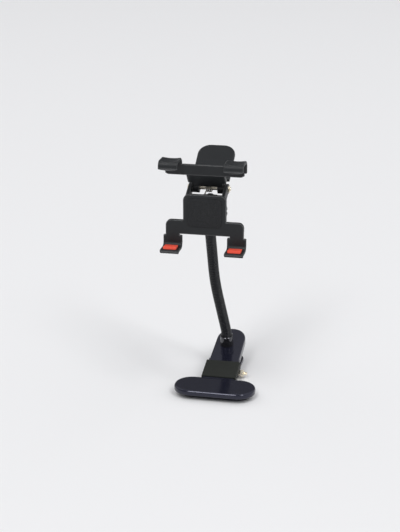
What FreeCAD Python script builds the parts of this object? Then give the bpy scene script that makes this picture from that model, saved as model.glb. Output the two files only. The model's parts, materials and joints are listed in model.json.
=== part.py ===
import FreeCAD, Part
import math
import os

from FreeCAD import Vector, Rotation, Placement

# A phone holder: a spring clip at the foot, a bendable metal neck, and a spring cradle
# with four padded claws on a ball joint.
# Millimetres. +Z is up, -Y is the front, and the origin lies on the flat underside of the
# lower clip jaw, straight below the clip's hinge.

# Foot clip, upper jaw
bar_width = 74.5
bar_depth = 33.5
bar_thick = 5.2
bar_corner = 16.0
bar_round = 2.0
bar_under_round = 1.2
neck_root = 4.0
neck_under = 1.6
neck_length = 24.0
neck_rise = 5.5
neck_half_front = 14.6
neck_half_back = 13.6
neck_skin = 2.8
neck_set_back = 2.0
lever_angle = 12.0
lever_length = 58.7
lever_half_start = 14.2
lever_half_end = 13.6
lever_end_depth = 17.0
lever_root = 3.0
lever_skin = 2.6
lever_skirt = 6.5
lever_wall = 2.2
lever_round = 1.5
lever_rib_thick = 1.4
lever_rib_side = 8.2
lever_rib_drop = 2.6
lever_rib_from = 8.0
lever_rib_to = 48.0

# Foot clip, lower jaw
plate_thick = 3.2
plate_inset = 5.0
plate_front_inset = 9.0
plate_round = 0.8
plate_corner = 11.0
plate_lever_length = 52.0
plate_lever_half = 12.0
plate_tail_root = 4.0

# Foot clip, rubber pads
pad_margin = 4.0
pad_back_margin = 3.0
pad_fit = 0.15
pad_corner = 6.0
pad_sunk = 1.0
pad_proud = 0.6
pad_meeting_gap = 0.2
pad_groove = 1.6
pad_groove_depth = 0.4
pad_groove_pitch = 4.6
pad_groove_margin = 2.0

# Foot clip, hinge
pivot_height = 4.9
pin_radius = 1.6
pin_running_gap = 0.05
pin_press_gap = 0.01
ear_radius = 4.2
ear_sweep_gap = 0.5
upper_ear_inner = 12.3
upper_ear_thick = 2.3
upper_ear_front = 14.0
upper_ear_sunk = 0.6
upper_ear_lean = 1.5
upper_ear_rise = 0.4
upper_ear_drop = 1.2
lower_ear_inner = 9.6
lower_ear_thick = 2.4
lower_ear_radius = 4.0
lower_ear_foot = 7.5
lower_ear_shoulder_in = 0.6
lower_ear_shoulder_up = 1.6
pin_head_radius = 3.2
pin_head_thick = 2.0
pin_head_round = 1.2
pin_end_round = 0.4
nut_across = 6.2
nut_thick = 3.2
nut_collar_radius = 2.6
nut_collar_thick = 1.5
pin_tail = 3.4
cover_wall = 1.2
cover_gap = 0.15
cover_round = 0.9
cover_front_gap = 0.4
cover_back_over = 0.6
cover_tail = 4.0
cover_skirt_height = 7.0
cover_window = 4.2
clip_spring_radius = 2.7
clip_spring_wire = 0.6
clip_spring_turns = 3
clip_spring_pitch = 1.7
clip_upper_leg_along = 18.0
clip_lower_leg = 20.0
spring_seat_gap = 0.1
spring_pocket_width = 14.0
spring_pocket_length = 34.0
spring_pocket_from = 6.0
spring_pocket_corner = 2.0

# Bendable neck and its end fittings
stem_from_neck = 30.3
stem_side = -2.2
stem_seat = 2.0
stem_boss_depth = 4.0
stem_boss_margin = 0.8
ferrule_height = 10.5
ferrule_foot_radius = 6.3
ferrule_foot_height = 1.0
ferrule_top_radius = 5.9
ferrule_bead = 1.5
ferrule_bead_out = 0.4
ferrule_neck = 0.5
tube_radius = 4.6
tube_rib = 0.35
tube_rib_count = 46
tube_gap = 0.05
stem_bolt_radius = 4.0
stem_bolt_drop = 10.8
washer_radius = 7.2
washer_thick = 0.8
stem_nut_across = 13.0
stem_nut_thick = 3.4
first_run = 12.5
waist_x = -10.2
waist_y = 7.7
waist_z = 91.6
elbow_x = -11.5
elbow_y = -12.0
elbow_z = 154.6
low_bend_radius = 55.0
waist_radius = 280.0
high_bend_radius = 50.0
end_ferrule_length = 10.0
end_ferrule_radius = 6.2
end_ferrule_overlap = 7.0
end_ferrule_nose = 1.0
end_ferrule_edge = 0.7
stud_neck_radius = 3.2
stud_neck_length = 5.5
stud_sunk = 0.5
stud_flange_thick = 1.2
stud_flange_out = 1.2

# Ball joint on the back of the cradle
ball_radius = 8.5
ball_gap = 0.25
cup_radius = 12.3
cup_past_centre = 1.0
cup_slot = 1.6
cup_slot_length = 9.0
cup_slot_turns = (45, 135)
gusset_turns = (0, 180, 270)
gusset_thick = 1.8
gusset_reach = 5.0
collar_radius = 15.2
collar_length = 15.5
collar_bore_gap = 0.15
collar_end_wall = 5.0
collar_edge = 0.8
collar_nose = 1.5
collar_lip = 3.0
collar_mouth_angle = 66.0
collar_flare = 52.0
collar_flutes = 14
collar_flute_radius = 2.0
collar_flute_depth = 0.8

# Cradle, measured from the middle of its grip, at the front: across, back and up
grip_width = 72.0
cradle_x = -3.8
cradle_y = -81.0
cradle_z = 188.3
phone_rest_back = 7.5
cushion_thick = 1.5
cushion_width = 30.0
cushion_height = 25.0
cushion_mid = -7.5
cushion_corner = 4.0
back_plate_thick = 3.5
back_plate_width = 37.0
back_plate_top = 8.0
back_plate_bottom = -27.0
back_plate_lift = 2.0
back_plate_corner = 5.0
cross_bar_height = 12.0
cross_bar_corner = 4.5
arm_width = 12.0
arm_root = 6.0
arm_reach = 2.0
claw_spacing = 55.4
claw_width = 16.5
claw_thick = 2.6
claw_flare = 9.0
claw_inner_bend = 3.5
claw_lip_bend = 2.6
claw_edge_round = 0.8
claw_pad_thick = 1.6
claw_pad_width = 11.4
claw_pad_ridge = 0.9
claw_pad_ridge_width = 1.0
claw_pad_ridge_slope = 0.6
claw_pad_front_slope = 0.3
claw_pad_gap = 0.4
upper_reach = 6.2
upper_lip = 5.6
lip_flare_drop = 1.8
lip_flare_out = 1.2
lip_flare_bend = 3.6
upper_dip = 1.4
upper_lip_sag = 1.5
lower_reach = 6.0
lower_nose_length = 1.7
lower_nose_drop = 1.5
lower_nose_bend = 1.2
upper_cross_drop = 2.0
upper_cross_height = 9.0
upper_cross_corner = 3.0
ball_back = 31.0
ball_up = -12.0

# Cradle hinge, handle and spring
hinge_back = 28.0
hinge_up = 9.5
hinge_pin_radius = 1.5
knuckle_radius = 4.3
knuckle_inner = 8.0
knuckle_outer = 13.6
bracket_gap = 0.4
bracket_thick = 3.0
bracket_foot_low = -2.5
bracket_top_drop = 1.5
bracket_nose = 1.5
bracket_nose_slim = 0.3
bracket_sweep = 10.0
hinge_pin_head_radius = 2.8
hinge_pin_head_thick = 1.4
hinge_pin_head_round = 0.7
hinge_pin_tail = 0.8
keeper_radius = 3.0
keeper_thick = 1.2
web_thick = 3.4
web_half = 16.5
tongue_length = 50.0
tongue_half = 16.5
tongue_thick = 3.4
tongue_corner = 11.0
tongue_angle = 33.0
tongue_round = 1.2
jaw_spring_radius = 3.0
jaw_spring_wire = 0.55
jaw_spring_turns = 3
jaw_spring_pitch = 1.6
jaw_spring_room = 0.5
jaw_tongue_leg = 18.0
jaw_tongue_leg_lift = 2.0
jaw_plate_leg = 15.8
jaw_plate_leg_drop = 10.0

# How far a fused piece is rooted in its carrier, and how far a cutting tool runs past what it cuts
fuse_root = 1.0
weld = 0.5
cut_over = 1.0
trim_over = 0.01

# Places that follow from the sizes above
neck_back_y = -neck_set_back
neck_front_y = neck_back_y - neck_length
bar_front_y = neck_front_y - bar_depth
bar_bottom = plate_thick + 2 * pad_proud + pad_meeting_gap
bar_top = bar_bottom + bar_thick
lever_start = bar_top + neck_rise
lever_slope = math.tan(math.radians(lever_angle))
neck_slope = neck_rise / neck_length
pivot = Vector(0, 0, pivot_height)
cradle = Vector(cradle_x, cradle_y, cradle_z)
claw_x = claw_spacing / 2
grip_half = grip_width / 2
shelf_inner = grip_half + claw_pad_thick
plate_front = phone_rest_back + cushion_thick
plate_back = plate_front + back_plate_thick
ball_centre = cradle + Vector(0, ball_back, ball_up)
hinge_local = Vector(0, hinge_back, hinge_up)

axis_x = Vector(1, 0, 0)
axis_y = Vector(0, 1, 0)
axis_z = Vector(0, 0, 1)


def flat_face(points):
    return Part.Face(Part.makePolygon(points + [points[0]]))


def side_prism(profile, x_from, x_to):
    # A profile given as (y, z) pairs, carried straight across from x_from to x_to.
    face = flat_face([Vector(x_from, y, z) for y, z in profile])
    return face.extrude(Vector(x_to - x_from, 0, 0))


def rounded_slab(x_from, x_to, y_from, y_to, z_from, z_to, corner):
    slab = Part.makeBox(x_to - x_from, y_to - y_from, z_to - z_from, Vector(x_from, y_from, z_from))
    upright = [e for e in slab.Edges if abs(e.tangentAt(e.FirstParameter).z) > 0.9]
    return slab.makeFillet(corner, upright)


def edges_at_z(shape, level):
    found = []
    for edge in shape.Edges:
        box = edge.BoundBox
        if abs(box.ZMin - level) < 1e-4 and abs(box.ZMax - level) < 1e-4:
            found.append(edge)
    return found


def edges_at_x(shape, level):
    found = []
    for edge in shape.Edges:
        box = edge.BoundBox
        if abs(box.XMin - level) < 1e-4 and abs(box.XMax - level) < 1e-4:
            found.append(edge)
    return found


def rod(start, end, radius):
    way = end.sub(start)
    return Part.makeCylinder(radius, way.Length, start, way)


def cross_rod(x_from, x_to, y, z, radius):
    return Part.makeCylinder(radius, x_to - x_from, Vector(x_from, y, z), axis_x)


def hex_prism(across, length, start, way):
    reach = across / math.sqrt(3)
    corners = []
    for k in range(6):
        turn = math.radians(60 * k)
        corners.append(Vector(reach * math.cos(turn), reach * math.sin(turn), 0))
    prism = flat_face(corners).extrude(Vector(0, 0, length))
    prism.Placement = Placement(start, Rotation(axis_z, way))
    return prism


def turned(profile, start, way):
    # A solid of revolution from (radius, height) pairs, stood at start along way.
    face = flat_face([Vector(r, 0, h) for r, h in profile])
    body = face.revolve(Vector(0, 0, 0), axis_z, 360)
    body.Placement = Placement(start, Rotation(axis_z, way))
    return body


def rounded_route(points, radii):
    # Straight runs joined by tangent arcs, one arc at each inner point.
    edges = []
    here = points[0]
    for k in range(1, len(points) - 1):
        corner = points[k]
        back = points[k - 1].sub(corner).normalize()
        ahead = points[k + 1].sub(corner).normalize()
        turn = math.pi - back.getAngle(ahead)
        reach = radii[k - 1] * math.tan(turn / 2)
        arc_start = corner.add(Vector(back).multiply(reach))
        arc_end = corner.add(Vector(ahead).multiply(reach))
        inward = back.add(ahead).normalize()
        arc_mid = corner.add(Vector(inward).multiply(radii[k - 1] * (1 / math.cos(turn / 2) - 1)))
        if here.sub(arc_start).Length > 1e-6:
            edges.append(Part.LineSegment(here, arc_start).toShape())
        edges.append(Part.Arc(arc_start, arc_mid, arc_end).toShape())
        here = arc_end
    edges.append(Part.LineSegment(here, points[-1]).toShape())
    return Part.Wire(edges)


def ribbon(points, radii, thick, x_from, x_to):
    # A strip of even thickness that follows a rounded route of (y, z) pairs, carried across in x.
    route = rounded_route([Vector(0, y, z) for y, z in points], radii)
    strip = route.makeOffset2D(thick, 0, True, True, False)
    face = strip if strip.ShapeType == "Face" else strip.Faces[0]
    solid = face.extrude(Vector(x_to - x_from, 0, 0))
    solid.translate(Vector(x_from, 0, 0))
    return solid


def torsion_spring(centre, radius, wire, turns, pitch, from_angle, to_angle, from_leg, to_leg):
    # A close coil about x with two straight legs that leave it along its tangents.
    # Angles are measured from +y towards +z.
    sweep = turns + ((to_angle - from_angle) % 360) / 360.0
    length = pitch * sweep
    coil = Part.makeHelix(pitch, length, radius)
    a = math.radians(from_angle)
    first = Vector(0, math.cos(a), math.sin(a))
    second = Vector(0, -math.sin(a), math.cos(a))
    turn = Rotation(first, second, axis_x, "ZXY")
    place = Placement(centre.sub(Vector(length / 2, 0, 0)), turn)
    section = Part.Wire(Part.makeCircle(wire, Vector(radius, 0, 0), axis_y))
    body = Part.Wire(coil.Edges).makePipeShell([section], True, True)
    body.Placement = place
    b = math.radians(to_angle)
    start = centre.add(Vector(-length / 2, radius * math.cos(a), radius * math.sin(a)))
    end = centre.add(Vector(length / 2, radius * math.cos(b), radius * math.sin(b)))
    start_way = Vector(0, math.sin(a), -math.cos(a))
    end_way = Vector(0, -math.sin(b), math.cos(b))
    first_leg = Part.makeCylinder(wire, from_leg, start, start_way)
    second_leg = Part.makeCylinder(wire, to_leg, end, end_way)
    return body.fuse([first_leg, second_leg])


def one_solid(shape):
    if shape.ShapeType == "Solid":
        return shape
    merged = shape.removeSplitter()
    solids = merged.Solids
    if len(solids) != 1:
        print("warning:", len(solids), "solids where one was meant")
    return solids[0]


parts = {}

# Lower clip jaw: a flat T plate that the holder stands on, with two inner hinge ears.
bar_half = bar_width / 2
lower_half = bar_half - plate_inset
lower_front = bar_front_y + plate_front_inset
lower_bar = rounded_slab(-lower_half, lower_half, lower_front, neck_front_y, 0, plate_thick, plate_corner)
tail_start = neck_front_y - plate_tail_root
tail_box_end = plate_lever_length - plate_lever_half
tail = Part.makeBox(2 * plate_lever_half, tail_box_end - tail_start, plate_thick,
                    Vector(-plate_lever_half, tail_start, 0))
tail_end = Part.makeCylinder(plate_lever_half, plate_thick, Vector(0, tail_box_end, 0))
lower_plate = one_solid(lower_bar.fuse([tail, tail_end]))
lower_plate = lower_plate.makeFillet(plate_round, edges_at_z(lower_plate, plate_thick))
lower_jaw = lower_plate
lower_ear_outer = lower_ear_inner + lower_ear_thick
for side in (-1, 1):
    x_from = min(side * lower_ear_inner, side * lower_ear_outer)
    x_to = max(side * lower_ear_inner, side * lower_ear_outer)
    ear_disc = cross_rod(x_from, x_to, 0, pivot_height, lower_ear_radius)
    shoulder_y = ear_radius - lower_ear_shoulder_in
    shoulder_z = pivot_height + lower_ear_shoulder_up
    foot_z = plate_thick - fuse_root
    ear_web = side_prism([(-lower_ear_foot, foot_z), (lower_ear_foot, foot_z),
                          (shoulder_y, shoulder_z), (-shoulder_y, shoulder_z)], x_from, x_to)
    lower_jaw = lower_jaw.fuse([ear_disc, ear_web])
lower_hole_end = lower_ear_outer + cut_over
lower_hole = cross_rod(-lower_hole_end, lower_hole_end, 0, pivot_height, pin_radius + pin_running_gap)
spring_floor = pivot_height - clip_spring_radius - clip_spring_wire - spring_seat_gap
spring_pocket = rounded_slab(-spring_pocket_width / 2, spring_pocket_width / 2,
                             -spring_pocket_from, spring_pocket_length - spring_pocket_from,
                             spring_floor, plate_thick + cut_over, spring_pocket_corner)
pad_x = lower_half - pad_margin
pad_y_from = lower_front + pad_margin
pad_y_to = neck_front_y - pad_back_margin
lower_recess = rounded_slab(-pad_x, pad_x, pad_y_from, pad_y_to,
                            plate_thick - pad_sunk, plate_thick + cut_over, pad_corner)
lower_jaw = lower_jaw.cut([lower_hole, spring_pocket, lower_recess])
parts["lower_jaw"] = one_solid(lower_jaw)

# Rubber pads, one let into each jaw, with grooves across the gripping face.


def clip_pad(z_from, z_to, face_level, into):
    pad = rounded_slab(-pad_x + pad_fit, pad_x - pad_fit, pad_y_from + pad_fit, pad_y_to - pad_fit,
                       z_from, z_to, pad_corner - pad_fit)
    grooves = []
    count = int((pad_y_to - pad_y_from - 2 * pad_groove_margin) / pad_groove_pitch)
    first = (pad_y_from + pad_y_to) / 2 - (count - 1) * pad_groove_pitch / 2
    for k in range(count):
        low = face_level if into > 0 else face_level - pad_groove_depth
        grooves.append(Part.makeBox(2 * pad_x, pad_groove, pad_groove_depth,
                                    Vector(-pad_x, first + k * pad_groove_pitch - pad_groove / 2, low)))
    return one_solid(pad.cut(grooves))


lower_face = plate_thick + pad_proud
upper_face = bar_bottom - pad_proud
parts["lower_jaw_pad"] = clip_pad(plate_thick - pad_sunk, lower_face, lower_face, -1)
parts["upper_jaw_pad"] = clip_pad(upper_face, bar_bottom + pad_sunk, upper_face, 1)

# Upper clip jaw: a rounded cross bar, a rising neck with hinge ears, and a hollow tongue lever.
bar = rounded_slab(-bar_half, bar_half, bar_front_y, neck_front_y, bar_bottom, bar_top, bar_corner)
bar = bar.makeFillet(bar_round, edges_at_z(bar, bar_top))
bar = bar.makeFillet(bar_under_round, edges_at_z(bar, bar_bottom))
upper_recess = rounded_slab(-pad_x, pad_x, pad_y_from, pad_y_to,
                            bar_bottom - cut_over, bar_bottom + pad_sunk, pad_corner)
neck_profile = [(neck_front_y - neck_root, bar_top - neck_root * neck_slope - bar_round / 2),
                (neck_front_y, bar_top),
                (neck_back_y, lever_start),
                (neck_back_y + neck_root, lever_start + neck_root * lever_slope),
                (neck_back_y + neck_root, lever_start + neck_root * lever_slope - neck_skin),
                (neck_back_y, lever_start - neck_skin),
                (neck_front_y + neck_root, bar_top - neck_skin + neck_root * neck_slope),
                (neck_front_y - neck_root, bar_bottom + neck_under)]
neck_skin_solid = side_prism(neck_profile, -neck_half_front - cut_over, neck_half_front + cut_over)
neck_plan = flat_face([Vector(-neck_half_front, neck_front_y - neck_root, 0),
                       Vector(neck_half_front, neck_front_y - neck_root, 0),
                       Vector(neck_half_front, neck_front_y, 0),
                       Vector(neck_half_back, neck_back_y + neck_root, 0),
                       Vector(-neck_half_back, neck_back_y + neck_root, 0),
                       Vector(-neck_half_front, neck_front_y, 0)])
neck_solid = neck_skin_solid.common(neck_plan.extrude(Vector(0, 0, lever_start + neck_root)))


def lever_outline(inset, level):
    # A slim tongue: nearly parallel sides and a half ellipse for its free end.
    start_half = lever_half_start - inset
    end_half = lever_half_end - inset
    straight = lever_length - lever_end_depth
    begin = inset - lever_root
    depth = lever_end_depth - inset
    ellipse = Part.Ellipse(Vector(0, straight, level), depth, end_half)
    ellipse.XAxis = axis_y
    curve = Part.ArcOfEllipse(ellipse, -math.pi / 2, math.pi / 2).toShape()
    ends = [v.Point for v in curve.Vertexes]
    right = ends[0] if ends[0].x > 0 else ends[1]
    left = ends[1] if ends[0].x > 0 else ends[0]
    base_right = Vector(start_half, begin, level)
    base_left = Vector(-start_half, begin, level)
    lines = [Part.LineSegment(left, base_left).toShape(),
             Part.LineSegment(base_left, base_right).toShape(),
             Part.LineSegment(base_right, right).toShape()]
    return Part.Face(Part.Wire(Part.__sortEdges__([curve] + lines)))


lever = lever_outline(0, -lever_skirt).extrude(Vector(0, 0, lever_skirt))
lever = lever.makeFillet(lever_round, edges_at_z(lever, 0))
lever_hollow = lever_outline(lever_wall, -lever_skirt - cut_over)
lever_hollow = lever_hollow.extrude(Vector(0, 0, lever_skirt + cut_over - lever_skin))
lever = lever.cut(lever_hollow)
stem_along = stem_from_neck / math.cos(math.radians(lever_angle))
stem_boss_radius = washer_radius + stem_boss_margin
stem_boss = Part.makeCylinder(stem_boss_radius, stem_boss_depth - lever_skin + weld,
                              Vector(stem_side, stem_along, -stem_boss_depth))
lever_ribs = []
for side in (-1, 1):
    rib = Part.makeBox(lever_rib_thick, lever_rib_to - lever_rib_from, lever_rib_drop + weld,
                       Vector(side * lever_rib_side - lever_rib_thick / 2, lever_rib_from,
                              -lever_skin - lever_rib_drop))
    lever_ribs.append(rib)
washer_room = Part.makeCylinder(stem_boss_radius, lever_skirt,
                                Vector(stem_side, stem_along, -lever_skirt - lever_skin))
rib_set = [rib.cut(washer_room) for rib in lever_ribs]
lever = lever.fuse([stem_boss] + rib_set)
stem_hole = Part.makeCylinder(stem_bolt_radius + tube_gap, lever_skirt + 2 * cut_over,
                              Vector(stem_side, stem_along, -lever_skirt - cut_over))
lever = lever.cut(stem_hole)
lever_place = Placement(Vector(0, neck_back_y, lever_start), Rotation(axis_x, lever_angle))
lever.Placement = lever_place
stem_normal = Rotation(axis_x, lever_angle).multVec(axis_z)
stem_foot = lever_place.multVec(Vector(stem_side, stem_along, 0))
stem_under = lever_place.multVec(Vector(stem_side, stem_along, -stem_boss_depth))
upper_ear_outer = upper_ear_inner + upper_ear_thick
upper_ears = []
for side in (-1, 1):
    x_from = min(side * upper_ear_inner, side * upper_ear_outer)
    x_to = max(side * upper_ear_inner, side * upper_ear_outer)
    upper_ears.append(cross_rod(x_from, x_to, 0, pivot_height, ear_radius))
    front_top = lever_start - neck_skin - upper_ear_front * neck_slope + upper_ear_sunk
    upper_ears.append(side_prism([(-upper_ear_front, front_top),
                                  (-ear_radius, pivot_height), (ear_radius, pivot_height),
                                  (ear_radius + upper_ear_lean, lever_start + upper_ear_rise),
                                  (neck_back_y, lever_start - upper_ear_drop)], x_from, x_to))
upper_jaw = bar.cut(upper_recess).fuse([neck_solid, lever] + upper_ears)
ear_hole_end = upper_ear_outer + cut_over
ear_hole = cross_rod(-ear_hole_end, ear_hole_end, 0, pivot_height, pin_radius + pin_press_gap)
ear_relief = cross_rod(-upper_ear_inner, upper_ear_inner, 0, pivot_height, ear_radius + ear_sweep_gap)
parts["upper_jaw"] = one_solid(upper_jaw.cut([ear_hole, ear_relief]))

# Matt hinge cover: a saddle that hides the hinge, with a window over each end of the pin.
cover_lift = cover_wall + cover_gap
cover_front = neck_front_y + cover_front_gap
cover_back = neck_back_y + cover_back_over


def cover_block(lift, grow, low, front, back):
    top_front = bar_top + (front - neck_front_y) * neck_slope + lift
    top_back = lever_start + (back - neck_back_y) * lever_slope + lift
    top_mid = lever_start + lift
    profile = [(front, low), (front, top_front), (neck_back_y, top_mid), (back, top_back), (back, low)]
    wide = neck_half_front + upper_ear_outer + grow
    solid = side_prism(profile, -wide, wide)
    plan = flat_face([Vector(-neck_half_front - grow, front, 0), Vector(neck_half_front + grow, front, 0),
                      Vector(upper_ear_outer + grow, back, 0), Vector(-upper_ear_outer - grow, back, 0)])
    plan.translate(Vector(0, 0, -cut_over))
    return solid.common(plan.extrude(Vector(0, 0, top_back + 2 * cut_over)))


cover_end = cover_back + cover_tail
cover_outer = cover_block(cover_lift, cover_gap + cover_wall, cover_skirt_height, cover_front, cover_end)
cover_long = [e for e in cover_outer.Edges if abs(e.tangentAt(e.FirstParameter).y) > 0.9
              and e.BoundBox.ZMin > cover_skirt_height + cover_wall]
cover_outer = cover_outer.makeFillet(cover_round, cover_long)
cover_inner = cover_block(cover_gap, cover_gap, cover_skirt_height - cut_over, cover_front - cut_over,
                          cover_end + cut_over)
cover = cover_outer.cut(cover_inner)
window_end = neck_half_front + upper_ear_outer + cover_lift
cover = cover.cut(cross_rod(-window_end, window_end, 0, pivot_height, cover_window))
cover_past = cover_wall + cover_tail
cover_clear = cover_block(cover_lift + cut_over, cover_past, 0, cover_back, cover_end + cover_past)
cover_clear = cover_clear.cut(cover_block(-neck_skin, cover_past + cut_over, -cut_over, cover_back - cut_over,
                                          cover_end + cover_past + cut_over))
bar_clear = rounded_slab(-bar_half - cover_gap, bar_half + cover_gap, bar_front_y, neck_front_y + cover_gap,
                         bar_bottom, bar_top + cover_gap, bar_corner)
cover = cover.cut([cover_clear, bar_clear])
parts["hinge_cover"] = one_solid(cover)

# Clip hinge pin with a pan head on the left and a nut on the right.
pin_left = -upper_ear_outer
nut_start = upper_ear_outer + nut_collar_thick
pin_right = nut_start + nut_thick + pin_tail
clip_pin = cross_rod(pin_left, pin_right, 0, pivot_height, pin_radius)
clip_pin = clip_pin.makeFillet(pin_end_round, edges_at_x(clip_pin, pin_right))
pin_head = cross_rod(pin_left - pin_head_thick, pin_left, 0, pivot_height, pin_head_radius)
pin_head = pin_head.makeFillet(pin_head_round, edges_at_x(pin_head, pin_left - pin_head_thick))
parts["clip_pin"] = one_solid(clip_pin.fuse(pin_head))
nut = hex_prism(nut_across, nut_thick, Vector(nut_start, 0, pivot_height), axis_x)
nut = nut.fuse(cross_rod(upper_ear_outer, nut_start, 0, pivot_height, nut_collar_radius))
nut_bore = cross_rod(0, pin_right + cut_over, 0, pivot_height, pin_radius + pin_press_gap)
parts["clip_pin_nut"] = one_solid(nut.cut(nut_bore))

# Clip spring: its legs push the two levers apart, which shuts the jaws.
leg_seat = lever_skin + clip_spring_wire + spring_seat_gap
leg_tip = lever_place.multVec(Vector(0, clip_upper_leg_along, -leg_seat))
leg_reach = leg_tip.sub(pivot)
tip_angle = math.atan2(leg_reach.z, leg_reach.y)
tip_distance = math.hypot(leg_reach.y, leg_reach.z)
leg_angle = tip_angle - math.asin(clip_spring_radius / tip_distance)
clip_upper_leg = math.sqrt(tip_distance ** 2 - clip_spring_radius ** 2)
parts["clip_spring"] = one_solid(torsion_spring(
    pivot, clip_spring_radius, clip_spring_wire, clip_spring_turns, clip_spring_pitch,
    90 + math.degrees(leg_angle), 270, clip_upper_leg, clip_lower_leg))

# Ferrule, threaded end, washer and nut that fix the bendable neck to the lever.
tube_start = stem_foot.add(Vector(stem_normal).multiply(stem_seat))
ferrule_bore = tube_radius + tube_rib + 2 * tube_gap
parts["stem_ferrule"] = turned(
    [(ferrule_bore, 0), (ferrule_foot_radius, 0), (ferrule_foot_radius, ferrule_foot_height),
     (ferrule_top_radius, ferrule_height - ferrule_bead - ferrule_neck),
     (ferrule_top_radius, ferrule_height - ferrule_bead),
     (ferrule_top_radius + ferrule_bead_out, ferrule_height - ferrule_bead + ferrule_bead_out),
     (ferrule_top_radius + ferrule_bead_out, ferrule_height - ferrule_bead_out),
     (ferrule_top_radius, ferrule_height), (ferrule_bore, ferrule_height)], stem_foot, stem_normal)
bolt_start = tube_start.sub(Vector(stem_normal).multiply(stem_bolt_drop))
parts["stem_bolt"] = rod(bolt_start, tube_start, stem_bolt_radius)
washer_top = stem_under
washer_low = washer_top.sub(Vector(stem_normal).multiply(washer_thick))
washer = rod(washer_low, washer_top, washer_radius)
nut_low = washer_low.sub(Vector(stem_normal).multiply(stem_nut_thick))
past_ends = Vector(stem_normal).multiply(cut_over)
stem_clear = rod(nut_low.sub(past_ends), washer_top.add(past_ends), stem_bolt_radius + pin_press_gap)
parts["stem_washer"] = one_solid(washer.cut(stem_clear))
stem_nut = hex_prism(stem_nut_across, stem_nut_thick, nut_low, stem_normal)
parts["stem_nut"] = one_solid(stem_nut.cut(stem_clear))

# Bendable neck: straight runs joined by three large arcs, with ribs along its whole length.
low_corner = tube_start.add(Vector(stem_normal).multiply(first_run))
elbow = Vector(elbow_x, elbow_y, elbow_z)
stud_way = ball_centre.sub(elbow).normalize()
stud_out = Vector(stud_way).multiply(-1)
stud_shoulder = ball_centre.add(Vector(stud_out).multiply(ball_radius - stud_sunk + stud_neck_length))
tube_end = stud_shoulder.add(Vector(stud_out).multiply(end_ferrule_length - end_ferrule_overlap))
waist = Vector(waist_x, waist_y, waist_z)
tube_route = rounded_route([tube_start, low_corner, waist, elbow, tube_end],
                           [low_bend_radius, waist_radius, high_bend_radius])


def along(wire, distance):
    left = distance
    for edge in wire.Edges:
        if left <= edge.Length + 1e-9:
            at = edge.getParameterByLength(min(left, edge.Length))
            return edge.valueAt(at), edge.tangentAt(at)
        left -= edge.Length
    edge = wire.Edges[-1]
    return edge.valueAt(edge.LastParameter), edge.tangentAt(edge.LastParameter)


ring_count = 2 * tube_rib_count
rings = []
for k in range(ring_count + 1):
    spot, way = along(tube_route, tube_route.Length * k / ring_count)
    ring_radius = tube_radius + (tube_rib if k % 2 else -tube_rib)
    rings.append(Part.Wire(Part.makeCircle(ring_radius, spot, way)))
parts["gooseneck"] = Part.makeLoft(rings, True, True)
print("neck length", round(tube_route.Length, 1), "mm")
print("neck volume", round(parts["gooseneck"].Volume), "against",
      round(math.pi * tube_radius ** 2 * tube_route.Length))

# Upper end fitting: a ferrule over the end of the neck and the ball stud screwed into it.
end_bore = tube_radius + tube_rib + tube_gap
parts["head_ferrule"] = turned(
    [(stud_neck_radius + pin_press_gap, 0), (end_ferrule_radius - end_ferrule_nose, 0),
     (end_ferrule_radius, end_ferrule_nose), (end_ferrule_radius, end_ferrule_length - end_ferrule_edge),
     (end_ferrule_radius - end_ferrule_edge, end_ferrule_length),
     (end_bore, end_ferrule_length), (end_bore, end_ferrule_length - end_ferrule_overlap),
     (stud_neck_radius + pin_press_gap, end_ferrule_length - end_ferrule_overlap)],
    stud_shoulder, stud_out)
ball = Part.makeSphere(ball_radius, ball_centre)
stud_neck = rod(ball_centre, tube_end, stud_neck_radius)
stud_flange = rod(stud_shoulder.sub(Vector(stud_out).multiply(stud_flange_thick)), stud_shoulder,
                  stud_neck_radius + stud_flange_out)
parts["ball_stud"] = one_solid(ball.fuse([stud_neck, stud_flange]))

# Lower cradle jaw: back plate, cross bar, two arms with flat claws, hinge brackets and ball cup.


def local_slab(x_from, x_to, y_from, y_to, z_from, z_to, corner):
    # A plate seen from the front, with rounded corners in the x, z plane.
    slab = Part.makeBox(x_to - x_from, y_to - y_from, z_to - z_from, Vector(x_from, y_from, z_from))
    deep = [e for e in slab.Edges if abs(e.tangentAt(e.FirstParameter).y) > 0.9]
    return slab.makeFillet(corner, deep)


def soft_sides(solid, radius):
    box = solid.BoundBox
    return solid.makeFillet(radius, edges_at_x(solid, box.XMin) + edges_at_x(solid, box.XMax))


shelf_low = -shelf_inner
plate = local_slab(-back_plate_width / 2, back_plate_width / 2, plate_front, plate_back,
                   back_plate_bottom + back_plate_lift, back_plate_top, back_plate_corner)
cross_low = back_plate_bottom
cross_half = claw_x + arm_width / 2
cross_bar = local_slab(-cross_half, cross_half, plate_front, plate_back,
                       cross_low, cross_low + cross_bar_height, cross_bar_corner)
nose_start = lower_nose_length - lower_reach
fixed_pieces = [cross_bar]
for side in (-1, 1):
    middle = side * claw_x
    arm = ribbon([(plate_front, cross_low + arm_root), (plate_front, shelf_low), (-arm_reach, shelf_low)],
                 [claw_inner_bend], -claw_thick, middle - arm_width / 2, middle + arm_width / 2)
    claw = ribbon([(plate_front, shelf_low + claw_flare), (plate_front, shelf_low), (nose_start, shelf_low),
                   (-lower_reach, shelf_low - lower_nose_drop)],
                  [claw_inner_bend, lower_nose_bend], -claw_thick,
                  middle - claw_width / 2, middle + claw_width / 2)
    claw = soft_sides(claw, claw_edge_round)
    fixed_pieces += [arm, claw]
bracket_in = knuckle_outer + bracket_gap
bracket_out = bracket_in + bracket_thick
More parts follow.
